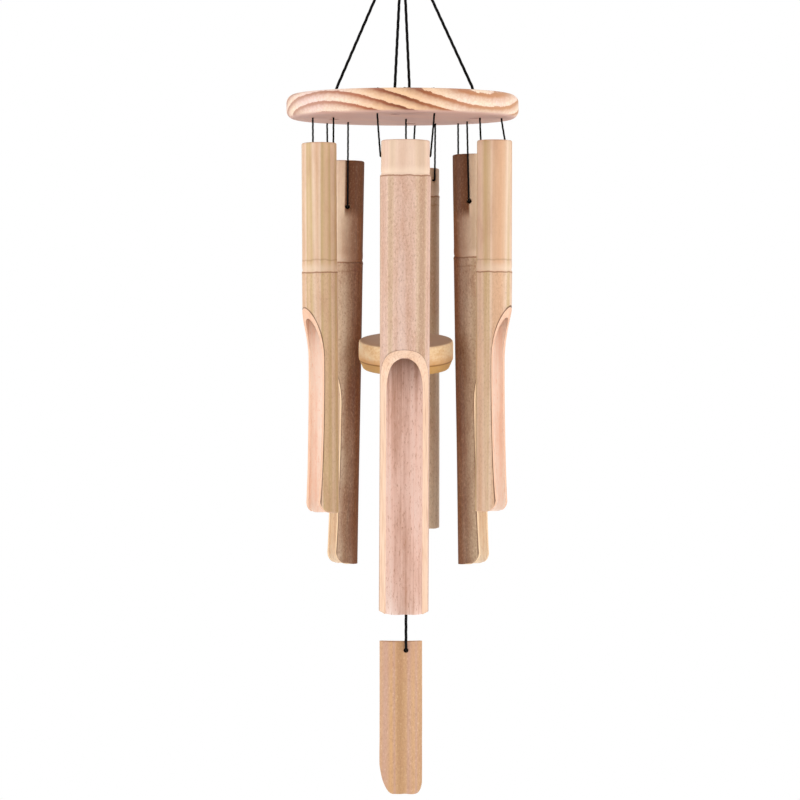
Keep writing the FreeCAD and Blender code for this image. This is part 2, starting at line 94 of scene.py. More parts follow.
# Each tube as in the CAD model: its top's centre, how far its foot stands aside in X, the way its scoop
# faces in degrees from +X, its length, node and scoop start, and its two cords. A cord is (platform hole),
# (side of the tube that it enters, drop below the top). Slack is how far back its crossing lies.
TUBES = {
    "front": dict(
        top=(2.0, -62.0, -179.7), aside=-1.2, facing=-90, section="front",
        length=321.6, node=23.4, scoop=142.2, slack=10.0,
        cords=dict(left=((-17.2, -62.0), (180, 11.1)), right=((21.6, -62.0), (0, 11.1))),
    ),
    "front_left": dict(
        top=(-57.1, -26.0, -179.4), aside=1.7, facing=208, section="side",
        length=253.2, node=88.0, scoop=113.2,
        cords=dict(left=((-61.6, -13.4), (109.8, 14.0)), right=((-47.3, -17.1), (42, 14.0))),
    ),
    "front_right": dict(
        top=(63.1, -22.0, -177.4), aside=-1.1, facing=-24, section="side",
        length=254.4, node=89.4, scoop=114.4,
        cords=dict(left=((53.1, -12.4), (134, 9.0)), right=((67.8, -8.9), (46, 9.0))),
    ),
    "rear_left": dict(
        top=(-38.5, 48.0, -187.8), aside=-5.1, facing=198, section="slim",
        length=282.2, node=70.5, scoop=138.0,
        cords=dict(left=((-52.8, 48.0), (180, 32.8)), right=((-37.9, 34.7), (-86, 32.8))),
    ),
    "rear_right": dict(
        top=(47.0, 41.0, -183.6), aside=4.2, facing=-21, section="slim",
        length=286.4, node=71.5, scoop=140.5,
        cords=dict(left=((39.0, 51.2), (130, 33.5)), right=((44.9, 27.8), (-95.5, 33.5))),
    ),
    "rear": dict(
        top=(13.75, 60.5, -192.4), aside=0.0, facing=76, section="slim",
        length=253.4, node=19.2, scoop=122.0,
        cords=dict(left=((8.9, 72.2), (126, 8.8)), right=((23.0, 50.9), (-46, 8.8))),
    ),
}


def add_object(name, data):
    made = bpy.data.objects.new(name, data)
    scene.collection.objects.link(made)
    return made


def built_mesh(name, builder):
    """A mesh of what the builder holds."""
    data = bpy.data.meshes.new(name)
    builder.to_mesh(data)
    builder.free()
    return data


# ---- camera, light and floor

# Each softbox's name, place and side in metres, and watts.
SOFTBOXES = (
    ("key_softbox", (-1.6, -2.2, 0.9), 1.4, 22), ("fill_softbox", (1.9, -2.0, 0.3), 1.4, 16),
    ("top_softbox", (0.2, 0.6, 1.9), 1.6, 14), ("left_softbox", (-2.3, -0.5, -0.3), 1.3, 20),
    ("right_softbox", (2.3, -0.5, -0.3), 1.3, 20),
)
CAMERA_AWAY, CAMERA_ASIDE, CAMERA_DROP, CAMERA_LENS = 3.08, 1.72, 210.3, 200.97
CHIME_MIDDLE, FLOOR, FLOOR_RADIUS = -0.35, -0.95, 2.3


def camera():
    """Level with the tubes' middles and 3 m away, as the studio camera stood."""
    data = bpy.data.cameras.new("camera")
    data.sensor_width = 36
    data.lens = CAMERA_LENS
    data.clip_start, data.clip_end = 0.1, 60
    made = add_object("camera", data)
    made.location = (-CAMERA_ASIDE * MM, -CAMERA_AWAY, (PLATFORM_TOP - CAMERA_DROP) * MM)
    made.rotation_euler = (math.radians(90), 0, 0)
    scene.camera = made


def soft_light(name, place, size, watts):
    """A square softbox that faces the chime's middle."""
    data = bpy.data.lights.new(name, "AREA")
    data.shape = "SQUARE"
    data.size = size
    data.energy = watts
    made = add_object(name, data)
    made.location = place
    made.rotation_mode = "QUATERNION"
    made.rotation_quaternion = (Vector(place) - Vector((0, 0, CHIME_MIDDLE))).to_track_quat("Z", "Y")


def studio():
    """A white surround that lights softly, five softboxes and a pale round floor."""
    scene.view_settings.view_transform = "Standard"
    world = bpy.data.worlds.new("studio")
    world.use_nodes = True
    tree = world.node_tree
    tree.nodes.clear()
    path = tree.nodes.new("ShaderNodeLightPath")
    seen, lit = (tree.nodes.new("ShaderNodeBackground") for _ in range(2))
    for background, strength in ((seen, 1.0), (lit, 0.5)):
        background.inputs["Strength"].default_value = strength
        background.inputs["Color"].default_value = (1, 1, 1, 1)
    mix = tree.nodes.new("ShaderNodeMixShader")
    out = tree.nodes.new("ShaderNodeOutputWorld")
    tree.links.new(path.outputs["Is Camera Ray"], mix.inputs[0])
    tree.links.new(lit.outputs[0], mix.inputs[1])
    tree.links.new(seen.outputs[0], mix.inputs[2])
    tree.links.new(mix.outputs[0], out.inputs["Surface"])
    scene.world = world
    for softbox in SOFTBOXES:
        soft_light(*softbox)

    builder = bmesh.new()
    bmesh.ops.create_circle(builder, cap_ends=True, segments=96, radius=FLOOR_RADIUS)
    floor = add_object("floor", built_mesh("floor", builder))
    floor.location = (0, 0, FLOOR)
    pale = bpy.data.materials.new("floor_paper")
    pale.use_nodes = True
    shader = pale.node_tree.nodes["Principled BSDF"]
    shader.inputs["Base Color"].default_value = (0.86, 0.86, 0.85, 1)
    shader.inputs["Roughness"].default_value = 0.8
    floor.data.materials.append(pale)


# ---- material helpers

def rgb(red, green, blue):
    """A colour in linear light, from its values as a screen shows them."""
    def linear(value):
        value /= 255
        return value / 12.92 if value <= 0.04045 else ((value + 0.055) / 1.055) ** 2.4
    return (linear(red), linear(green), linear(blue), 1.0)


class Surface:
    """A Principled material and short ways to add nodes to it."""

    def __init__(self, name, roughness, metallic=0.0, specular=0.3):
        self.material = bpy.data.materials.new(name)
        self.material.use_nodes = True
        self.tree = self.material.node_tree
        self.shader = self.tree.nodes["Principled BSDF"]
        values = {"Roughness": roughness, "Metallic": metallic, "Specular IOR Level": specular}
        for socket, value in values.items():
            self.shader.inputs[socket].default_value = value

    def node(self, kind, **inputs):
        """A new node with some of its inputs set."""
        made = self.tree.nodes.new(kind)
        for socket, value in inputs.items():
            made.inputs[socket].default_value = value
        return made

    def link(self, source, target):
        self.tree.links.new(source, target)
        return source

    def place(self, scale=(1, 1, 1), shift=(0, 0, 0)):
        """The piece's own coordinates, scaled and shifted."""
        coordinates = self.node("ShaderNodeTexCoord")
        mapping = self.node("ShaderNodeMapping", Scale=scale, Location=shift)
        self.link(coordinates.outputs["Object"], mapping.inputs["Vector"])
        return mapping.outputs["Vector"]

    def noise(self, scale=(1, 1, 1), shift=(0, 0, 0), detail=3.0, roughness=0.5, warp=0.0):
        made = self.node("ShaderNodeTexNoise", Scale=1.0, Detail=detail, Roughness=roughness, Distortion=warp)
        self.link(self.place(scale, shift), made.inputs["Vector"])
        return made.outputs["Fac"]

    def axes(self):
        """The piece's own X, Y and Z, in metres."""
        parts = self.node("ShaderNodeSeparateXYZ")
        self.link(self.place(), parts.inputs[0])
        return parts.outputs

    def maths(self, operation, *values):
        made = self.node("ShaderNodeMath")
        made.operation = operation
        for socket, value in zip(made.inputs, values):
            if isinstance(value, (int, float)):
                socket.default_value = value
            else:
                self.link(value, socket)
        return made.outputs[0]

    def add(self, first, second):
        return self.maths("ADD", first, second)

    def minus(self, first, second):
        return self.maths("SUBTRACT", first, second)

    def times(self, first, second):
        return self.maths("MULTIPLY", first, second)

    def scaled(self, value, factor, offset):
        return self.maths("MULTIPLY_ADD", value, factor, offset)

    def size(self, value):
        return self.maths("ABSOLUTE", value)

    def distance(self, first, second):
        """The length of two sides at a right angle."""
        return self.maths("SQRT", self.add(self.times(first, first), self.times(second, second)))

    def spread(self, value, low, high, to_low=0.0, to_high=1.0):
        """A value mapped from one range to another, and kept inside it."""
        made = self.node("ShaderNodeMapRange")
        made.interpolation_type = "SMOOTHSTEP"
        for socket, number in zip(("From Min", "From Max", "To Min", "To Max"), (low, high, to_low, to_high)):
            made.inputs[socket].default_value = number
        self.link(value, made.inputs["Value"])
        return made.outputs["Result"]

    def ramp(self, value, *stops):
        """A colour ramp from (position, colour) stops. A colour of four values is in linear light already."""
        made = self.node("ShaderNodeValToRGB")
        elements = made.color_ramp.elements
        for _ in stops[2:]:
            elements.new(0.5)
        for element, (position, colour) in zip(elements, stops):
            element.position = position
            element.color = colour if len(colour) == 4 else rgb(*colour)
        self.link(value, made.inputs["Fac"])
        return made.outputs["Color"]

    def mix(self, share, first, second, blend="MIX"):
        made = self.node("ShaderNodeMix")
        made.data_type = "RGBA"
        made.blend_type = blend
        for index, value in ((0, share), (6, first), (7, second)):
            socket = made.inputs[index]
            if isinstance(value, (int, float)):
                socket.default_value = value
            elif isinstance(value, tuple):
                socket.default_value = rgb(*value)
            else:
                self.link(value, socket)
        return made.outputs[2]

    def tint(self, base, colour, value, low, high, to_low=0.0, to_high=1.0):
        """The base with a colour mixed in, as far as the value's spread says."""
        return self.mix(self.spread(value, low, high, to_low, to_high), base, colour)

    def colour(self, socket):
        self.link(socket, self.shader.inputs["Base Color"])

    def rough(self, value, low, high):
        self.link(self.spread(value, 0.25, 0.75, low, high), self.shader.inputs["Roughness"])

    def bump(self, height, strength, distance):
        """Bump of a height from 0 to 1 that stands for that many millimetres."""
        made = self.node("ShaderNodeBump", Strength=strength, Distance=distance * MM)
        self.link(height, made.inputs["Height"])
        self.link(made.outputs["Normal"], self.shader.inputs["Normal"])


# ---- mesh helpers

def new_piece(name, points, faces, materials, face_materials=None, place=None, merge=0.01):
    """A mesh object from points in millimetres. Points closer than merge become one."""
    data = bpy.data.meshes.new(name)
    data.from_pydata([Vector(p) * MM for p in points], [], faces)
    for made in materials:
        data.materials.append(made)
    if face_materials:
        data.polygons.foreach_set("material_index", face_materials)
    builder = bmesh.new()
    builder.from_mesh(data)
    bmesh.ops.remove_doubles(builder, verts=builder.verts, dist=merge * MM)
    bmesh.ops.dissolve_degenerate(builder, edges=builder.edges, dist=merge * MM)
    bmesh.ops.recalc_face_normals(builder, faces=builder.faces)
    builder.to_mesh(data)
    builder.free()
    made = add_object(name, data)
    if place is not None:
        made.matrix_world = place
    return made


def smooth(piece, angle=40):
    piece.data.polygons.foreach_set("use_smooth", [True] * len(piece.data.polygons))
    piece.data.set_sharp_from_angle(angle=math.radians(angle))


def evaluated_mesh(thing):
    graph = bpy.context.evaluated_depsgraph_get()
    return bpy.data.meshes.new_from_object(thing.evaluated_get(graph))


def apply_modifiers(piece):
    made = evaluated_mesh(piece)
    made.name = piece.data.name
    piece.modifiers.clear()
    piece.data = made


def drill_and_soften(piece, drills, edge_slot=-1):
    """Cut the drills (start, direction, radius, depth) out of the piece, then round its sharp edges and give
    the rounding the material of a slot."""
    builder = bmesh.new()
    for start, direction, radius, depth in drills:
        turn = Vector(direction).to_track_quat("Z", "Y").to_matrix().to_4x4()
        middle = Vector(start) + Vector(direction).normalized() * depth / 2
        bmesh.ops.create_cone(builder, cap_ends=True, segments=28, radius1=radius * MM, radius2=radius * MM,
                              depth=depth * MM, matrix=Matrix.Translation(middle * MM) @ turn)
    data = built_mesh("drills", builder)
    for made in piece.data.materials:
        data.materials.append(made)
    data.polygons.foreach_set("material_index", [min(1, len(data.materials) - 1)] * len(data.polygons))
    tool = add_object("drills", data)
    tool.matrix_world = piece.matrix_world
    cutting = piece.modifiers.new("drill", "BOOLEAN")
    cutting.operation = "DIFFERENCE"
    cutting.solver = "EXACT"
    cutting.object = tool
    bpy.context.view_layer.update()
    apply_modifiers(piece)
    bpy.data.objects.remove(tool)
    softening = piece.modifiers.new("soften", "BEVEL")
    softening.width = EDGE_BEVEL * MM
    softening.segments = 2
    softening.limit_method = "ANGLE"
    softening.angle_limit = math.radians(42)
    softening.material = edge_slot
    apply_modifiers(piece)
    smooth(piece)


class Grids:
    """Points and faces of several grids that share their edges."""

    def __init__(self):
        self.points, self.faces, self.materials = [], [], []

    def add(self, rows, material=0):
        """A grid from rows of equally many points."""
        first, width = len(self.points), len(rows[0])
        for row in rows:
            self.points.extend(row)
        for r in range(len(rows) - 1):
            for c in range(width - 1):
                a = first + r * width + c
                self.faces.append((a, a + 1, a + 1 + width, a + width))
                self.materials.append(material)

    def bridge(self, first, second, strips, material):
        """A grid between two lines of equally many points."""
        pairs = list(zip(first, second))
        self.add([[a.lerp(b, k / strips) for a, b in pairs] for k in range(strips + 1)], material)


def polar(radius, angle, z):
    return Vector((radius * math.cos(angle), radius * math.sin(angle), z))


def corner_lift(radius, past):
    """How far a corner of that radius has turned away, that far past its start."""
    return radius - math.sqrt(radius * radius - past * past)


# ---- cords

def cord_line(points):
    """A cord's smooth line, in metres: the points read from the NURBS spline that its route controls."""
    curve = bpy.data.curves.new("route", "CURVE")
    curve.dimensions = "3D"
    curve.resolution_u = 32
    spline = curve.splines.new("NURBS")
    spline.points.add(len(points) - 1)
    for control, point in zip(spline.points, points):
        control.co = (*(Vector(point) * MM), 1)
    spline.order_u = 3
    spline.use_endpoint_u = True
    route = add_object("route", curve)
    mesh = evaluated_mesh(route)
    line = [v.co.copy() for v in mesh.vertices]
    bpy.data.objects.remove(route)
    bpy.data.meshes.remove(mesh)
    return line


def line_length(line):
    return sum((b - a).length for a, b in zip(line, line[1:]))


def evenly(line, step):
    """The line's points, evenly spaced about a step apart."""
    count = max(2, round(line_length(line) / step))
    gap = line_length(line) / count
    found, walked, target = [line[0]], 0.0, gap
    for a, b in zip(line, line[1:]):
        stretch = (b - a).length
        while walked + stretch >= target - 1e-9 and len(found) < count:
            found.append(a.lerp(b, (target - walked) / stretch))
            target += gap
        walked += stretch
    return found + [line[-1]]


def twisted_tube(line, radius, closed=False):
    """Points and faces, in millimetres, of three plies twisted along a line that is in metres."""
    plies, around, lay = 3, 18, 7.0
    path = [p / MM for p in evenly(line, radius * 0.45 * MM)]
    if closed:
        path = path[:-1]
    points, faces = [], []
    side = (path[1] - path[0]).orthogonal().normalized()
    travelled = 0.0
    for n, place in enumerate(path):
        ahead = path[(n + 1) % len(path)] if closed else path[min(n + 1, len(path) - 1)]
        behind = path[n - 1] if closed or n else path[0]
        along = (ahead - behind).normalized()
        side = (side - along * side.dot(along)).normalized()
        up = along.cross(side)
        travelled += (place - path[max(n - 1, 0)]).length
        twist = math.tau * travelled / (lay * radius)
        for k in range(around):
            angle = math.tau * k / around
            swell = 0.84 + 0.2 * abs(math.cos(plies * (angle - twist / plies) / 2))
            points.append(place + (side * math.cos(angle) + up * math.sin(angle)) * radius * swell)
    rings = len(path)
    for n in range(rings if closed else rings - 1):
        for k in range(around):
            a, b = n * around + k, n * around + (k + 1) % around
            c = (n + 1) % rings * around
            faces.append((a, b, c + (k + 1) % around, c + k))
    if not closed:
        faces.append(tuple(range(around)))
        faces.append(tuple(range((rings - 1) * around, rings * around)))
    return points, faces


def cord(name, points, radius):
    """A free cord: its twisted tube round its NURBS line."""
    line = cord_line(points)
    tube, faces = twisted_tube(line, radius)
    made = new_piece(f"{name}_look", tube, faces, [BLACK_CORD], merge=0.001)
    smooth(made, 60)
    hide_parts(name)
    return made


def knot_points(centre, ball, radius, turn=0.0):
    """An overhand knot, drawn tight to the size of a ball."""
    reach = (ball - radius) / 3
    line = []
    for step in range(121):
        t = math.tau * step / 120
        x = math.sin(t) + 2 * math.sin(2 * t)
        y = math.cos(t) - 2 * math.cos(2 * t)
        z = -math.sin(3 * t) * 1.5
        place = Matrix.Rotation(turn, 3, "Z") @ Vector((x, z, y)) * reach
        line.append((Vector(centre) + place) * MM)
    return twisted_tube(line, radius, closed=True)


def knots(name, body, centres, size):
    """Small knots of one size that share one node."""
    points, faces = [], []
    for number, centre in enumerate(centres):
        some_points, some_faces = knot_points(centre, *size, turn=0.9 * number)
        faces.extend(tuple(i + len(points) for i in face) for face in some_faces)
        points.extend(some_points)
    made = new_piece(f"{name}_look", points, faces, [BLACK_CORD], merge=0.0005)
    smooth(made, 60)
    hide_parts(name)
    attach(made, body)


def cord_material():
    made = Surface("black_cord", roughness=0.85, specular=0.12)
    weave = made.noise((900, 900, 900), detail=2)
    made.colour(made.ramp(weave, (0.3, (2, 2, 2)), (0.75, (16, 15, 15))))
    made.bump(weave, 0.4, 0.1)
    return made.material


def hanging_loop():
    """The loop over the ring's wire, with both its legs in the knot, and the wrapped knot itself."""
    reach = RING_WIRE + CORD_GAP + CORD
    side = RING_FOOT - reach
    loop = cord("hanging_loop", [
        (0, -reach, KNOT_TOP - 2), (0, -reach, side), (0, -reach, RING_FOOT + reach),
        (0, reach, RING_FOOT + reach), (0, reach, side), (0, reach, KNOT_TOP - 2),
    ], CORD)
    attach(loop, "loop")

    turns, per_turn = 5, 40
    wrap = KNOT_RADIUS - CORD
    height = KNOT_TOP - KNOT_FOOT - 2 * CORD
    line = []
    for step in range(turns * per_turn + 1):
        share = step / (turns * per_turn)
        line.append(polar(wrap, math.tau * turns * share, KNOT_TOP - CORD - height * share) * MM)
    points, faces = twisted_tube(line, CORD * 1.06)
    core, sides = Grids(), 24
    profile = [(0.01, KNOT_TOP - 0.3), (2.6, KNOT_TOP - 0.5), (wrap, KNOT_TOP - 2), (wrap, KNOT_FOOT + 2),
               (2.6, KNOT_FOOT + 0.5), (0.01, KNOT_FOOT + 0.3)]
    core.add([[polar(r, math.tau * k / sides, z) for k in range(sides + 1)] for r, z in profile])
    faces.extend(tuple(i + len(points) for i in face) for face in core.faces)
    made = new_piece("loop_knot_look", points + core.points, faces, [BLACK_CORD], merge=0.005)
    smooth(made, 60)
    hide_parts("loop_knot")
    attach(made, "loop")


def suspension_cords():
    """Four cords from their knots in the platform's recesses to the knot under the loop."""
    ceiling = PLATFORM_FOOT + RECESS
    fixed_from, cord_top = KNOT_FOOT - 1.5, KNOT_FOOT + 2.0
    knot_places = []
    for name, quarter in (("right", 0), ("back", 90), ("left", 180), ("front", 270)):
        reach = SUSPENSION_LEFT if name == "left" else SUSPENSION_CIRCLE
        hole = polar(reach, math.radians(quarter + SUSPENSION_TURN), 0)
        edge = hole + Z_AXIS * (PLATFORM_TOP + 1.5)
        apex = Z_AXIS * SUSPENSION_APEX
        upper = edge + (apex - edge) * ((cord_top - edge.z) / (apex.z - edge.z))
        near_edge = edge + (upper - edge).normalized() * 12
        foot = hole + Z_AXIS * (ceiling - 1.0)
        made = cord(f"suspension_cord_{name}", [foot, edge, near_edge, upper], CORD)
        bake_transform(made)
        knot_places.append(hole + Z_AXIS * (ceiling - 2.7))
    knots("suspension_knots", "platform", knot_places, SUSPENSION_KNOT)


def tube_place(tube):
    """Where a tube stands: turned to its facing, then leaned so that its foot stands aside."""
    lean = -math.asin(tube["aside"] / tube["length"])
    return (Matrix.Translation(Vector(tube["top"])) @ Matrix.Rotation(lean, 4, "Y")
            @ Matrix.Rotation(math.radians(tube["facing"]), 4, "Z"))


def tube_cords(name, tube):
    """A tube's cord: the stretch across the platform's top, and two strands down to knots in the tube."""
    (left, _), (right, _) = tube["cords"].values()
    low, high = PLATFORM_FOOT + 1.2, PLATFORM_TOP + TUBE_CORD - 0.1
    rise = 1.6
    across = (Vector((*right, 0)) - Vector((*left, 0))).normalized() * rise
    slack = Vector((0, tube.get("slack", 0), 0))
    crossing = cord(f"{name}_cord_crossing", [
        (*left, low), (*left, high - rise), (*left, high), Vector((*left, high)) + across + slack,
        Vector((*right, high)) - across + slack, (*right, high), (*right, high - rise), (*right, low),
    ], TUBE_CORD)
    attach(crossing, "platform")

    place, section = tube_place(tube), SECTIONS[tube["section"]]
    outer, wall = section["radius"], section["wall"]
    knot_places = []
    for side, (hole, (azimuth, drop)) in tube["cords"].items():
        direction = polar(1, math.radians(azimuth - tube["facing"]), 0)
        level = Z_AXIS * -drop
        foot = Vector((*hole, PLATFORM_FOOT))
        corner = place @ (direction * (outer + TUBE_CORD + 0.1 - 0.75 * section["step"]) + level)
        end = place @ (direction * (outer - wall - 1.2) + level)
        near_corner = corner + (foot - corner).normalized() * 1.6
        inward = corner + (end - corner).normalized() * 1.3
        strand = cord(f"{name}_cord_{side}", [
            foot + Z_AXIS * 13, foot + Z_AXIS * 5, foot, near_corner, corner, inward, end,
        ], TUBE_CORD)
        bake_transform(strand)
        knot_places.append(place @ (direction * (outer - wall - 1.8 - 0.4) + level))
    knots(f"{name}_cord_knots", f"{name}_chime", knot_places, TUBE_KNOT)


def centre_cords():
    """The anchor knot, the short link, the cord through the clapper, and the cord down to the sail."""
    x = CLAPPER_X
    link = cord("clapper_cord_link", [
        (x, 0, PLATFORM_TOP + 1), (x, 0, PLATFORM_FOOT), (x, 0, LINK_FOOT + 1.05),
    ], TUBE_CORD)
    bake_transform(link)

    below = Vector((x, 0, CLAPPER_MIDDLE - KNOT_DROP))
    above = Vector((x, 0, CLAPPER_MIDDLE + KNOT_DROP))
    route = [(x, 0, LINK_FOOT + 0.8), above + Z_AXIS * 12, below]
    line = cord("clapper_cord", route, TUBE_CORD)
    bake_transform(line)
    knots("clapper_knots", "clapper", [above, below], CLAPPER_KNOT)
    knots("clapper_anchor_knot", "platform", [(x, 0, PLATFORM_TOP + 3.1)], ANCHOR_KNOT)

    pivot, hole = Vector((x, 0, SAIL_PIVOT)), Vector((x, 0, SAIL_HOLE))
    behind = SAIL_FACE + SAIL_THICKNESS + 2.0
    line = cord("sail_cord", [
        pivot + Z_AXIS * 5.5, hole + Z_AXIS * 12, hole + Z_AXIS * 2.4, hole + Vector((0, 0.3, 0)),
        hole + Vector((0, behind, 0)),
    ], CORD)
    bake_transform(line)
    knots("sail_knot", "sail_line", [hole + Vector((0, behind + 1.2, 0))], SAIL_KNOT)


# ---- bamboo

def scoop_line(made, section, scoop, length):
    """How near a point lies to a scoop's outer edge: a circle's arc, then a nearly upright face."""
    radius, depth, runout, flare = (section[key] for key in ("radius", "depth", "runout", "flare"))
    reach = math.sqrt(2 * runout * depth - depth * depth)
    x, _, z = made.axes()[:3]
    aside = made.scaled(x, 1 / MM, -(radius - depth + runout))
    down = made.scaled(z, -1 / MM, -(scoop + reach))
    from_arc = made.distance(aside, down)
    in_arc = made.size(made.minus(from_arc, runout))
    share = made.maths("DIVIDE", down, length - scoop - reach)
    leaning = made.times(made.times(share, share), -flare)
    on_face = made.size(made.add(made.add(aside, runout), leaning))
    below = made.maths("GREATER_THAN", down, 0.0)
    return made.add(made.times(below, on_face), made.times(made.minus(1.0, below), in_arc))


def bamboo_skin(name, seed, node, radius, tones, speckle, cream=0.0, second=None, shade=None,
                edge_shadow_line=0.0, scoop=None):
    """A culm's skin: streaks of several tones, fibres, specks, and a scar at the node, perhaps with a
    second, fainter one. Cream is how much paler it is above the node. A shade is the direction, in degrees,
    of the side that gets painted shade, a brown darkening, and the height at which that painted shade's edge
    turns from crisp to soft. A scoop is the section, start and end of the cut whose outer edge gets a
    painted shadow line."""
    made = Surface(name, roughness=0.5)
    broad = made.noise((105, 105, 1.3), (seed, 2 * seed, 0), detail=0.6, roughness=0.5)
    streak = made.noise((380, 380, 2.6), (2 * seed, seed, 1), detail=4, roughness=0.65, warp=0.3)
    fibre = made.noise((1900, 1900, 26), (seed, seed, 3), detail=3, roughness=0.7)
    mottle = made.noise((75, 75, 22), (seed, 5, seed), detail=6, roughness=0.65)
    speck = made.noise((900, 900, 480), (seed, 3, 8), detail=4, roughness=0.75)
    tone = made.add(made.times(broad, 0.9), made.times(streak, 0.1))
    base = made.ramp(tone, *zip((0.3, 0.4, 0.48, 0.56, 0.64, 0.74), tones))
    tinted = made.tint(base, (196, 146, 116), mottle, 0.42, 0.75, 0.0, 0.5)
    x, y, z = made.axes()[:3]
    below = made.add(z, (node + 1.0) * MM)
    older = made.scaled(made.maths("LESS_THAN", below, 0.0), 0.7, 0.3)
    darker = made.times(made.spread(speck, 0.34, 0.5, speckle, 0.0), older)
    dotted = made.mix(darker, tinted, (150, 104, 80))
    paler_dots = made.times(made.spread(speck, 0.56, 0.68, 0.0, speckle), older)
    dotted = made.mix(paler_dots, dotted, (250, 222, 196))
    fibred = made.tint(dotted, (160, 116, 84), fibre, 0.25, 0.5, 0.2, 0.0)
    uneven = made.scaled(made.noise((150, 150, 40), (seed, 1, 4), detail=3), 1.8 * MM, -0.9 * MM)
    wavy = made.add(below, uneven)
    scar = made.tint(fibred, (150, 104, 74), made.size(wavy), 0.15 * MM, 0.75 * MM, 0.8, 0.0)
    paler = made.spread(wavy, 2.5 * MM, 8.0 * MM, 0.45, 0.0)
    above = made.times(paler, made.maths("GREATER_THAN", wavy, 0.6 * MM))
    banded = made.mix(above, scar, (246, 220, 196))
    banded = made.tint(banded, (252, 226, 200), wavy, 0.4 * MM, 1.2 * MM, 0.0, cream)
    if second:
        again = made.size(made.scaled(uneven, 1.8, made.add(below, -second * MM)))
        banded = made.tint(banded, (158, 112, 74), again, 0.1 * MM, 0.9 * MM, 0.34, 0.0)
    # painted shade: the side that faces the shade's direction is darkened brown, with a crisp edge above the
    # given height, a soft one below it, and a darker top
    if shade is not None:
        angle, edge = math.radians(shade[0]), shade[1]
        along = made.add(made.times(x, math.cos(angle)), made.times(y, math.sin(angle)))
        blotch = made.add(along, made.times(made.minus(mottle, 0.5), radius * 0.6 * MM))
        upper = made.spread(z, -(edge + 5) * MM, -(edge - 4) * MM)
        soft = made.spread(blotch, -0.5 * radius * MM, radius * MM)
        crisp = made.spread(along, 0.02 * radius * MM, 0.14 * radius * MM)
        depth = made.mix(upper, soft, crisp)
        shaded = made.mix(1.0, banded, (138, 88, 42), "MULTIPLY")
        shaded = made.mix(made.times(upper, 0.4), shaded, (88, 62, 42))
        shaded = made.tint(shaded, (84, 54, 34), fibre, 0.3, 0.6, 0.5, 0.0)
        shaded = made.tint(shaded, (158, 116, 84), speck, 0.5, 0.66, 0.0, 0.4)
        banded = made.mix(depth, banded, shaded)
    # painted shadow line: a dark line along the scoop's outer edge
    if scoop:
        line = made.scaled(made.minus(mottle, 0.5), 1.2, scoop_line(made, *scoop))
        banded = made.tint(banded, (104, 66, 44), line, 0.3, 0.75, edge_shadow_line, 0.0)
    made.colour(banded)
    made.rough(streak, 0.45, 0.65)
    made.bump(made.add(made.times(fibre, 0.5), streak), 0.35, 0.25)
    return made.material


def bamboo_cut(name, seed, light, mid, dark):
    """Cut and sanded bamboo: pale flesh with the dark dots and dashes of its fibre bundles."""
    made = Surface(name, roughness=0.62)
    dashes = made.noise((1500, 1500, 45), (seed, 0, 0), detail=2, roughness=0.6)
    tone = made.noise((160, 160, 9), (0, seed, 0), detail=4, roughness=0.6)
    base = made.ramp(tone, (0.3, mid), (0.6, light))
    made.colour(made.tint(base, dark, dashes, 0.3, 0.55, 0.5, 0.0))
    made.rough(dashes, 0.7, 0.55)
    made.bump(dashes, 0.3, 0.15)
    return made.material


def bamboo_inside(name, seed, light, mid, dark, specks=0.55, arch=None):
    """The culm's inner wall: smooth papery flesh with long pink and brown streaks, and painted shade
    above a level, under the scoop's arch.
    """
    made = Surface(name, roughness=0.6)
    streak = made.noise((260, 260, 3), (seed, 4, seed), detail=5, roughness=0.65)
    broad = made.noise((120, 120, 14), (1, seed, 2), detail=4)
    speck = made.noise((800, 800, 260), (seed, 6, 2), detail=4, roughness=0.75)
    tone = made.add(made.times(streak, 0.5), made.times(broad, 0.5))
    base = made.ramp(tone, (0.34, dark), (0.5, mid), (0.66, light))
    base = made.tint(base, dark, speck, 0.33, 0.46, specks, 0.0)
    base = made.tint(base, light, speck, 0.56, 0.7, 0.0, 0.5)
    # painted shade: the inner wall darkens brown just under the scoop's arch
    if arch is not None:
        z = made.axes()[2]
        base = made.tint(base, (176, 128, 100), z, -(arch + 16) * MM, -(arch + 2) * MM, 0.0, 0.7)
    made.colour(base)
    made.bump(streak, 0.3, 0.2)
    return made.material


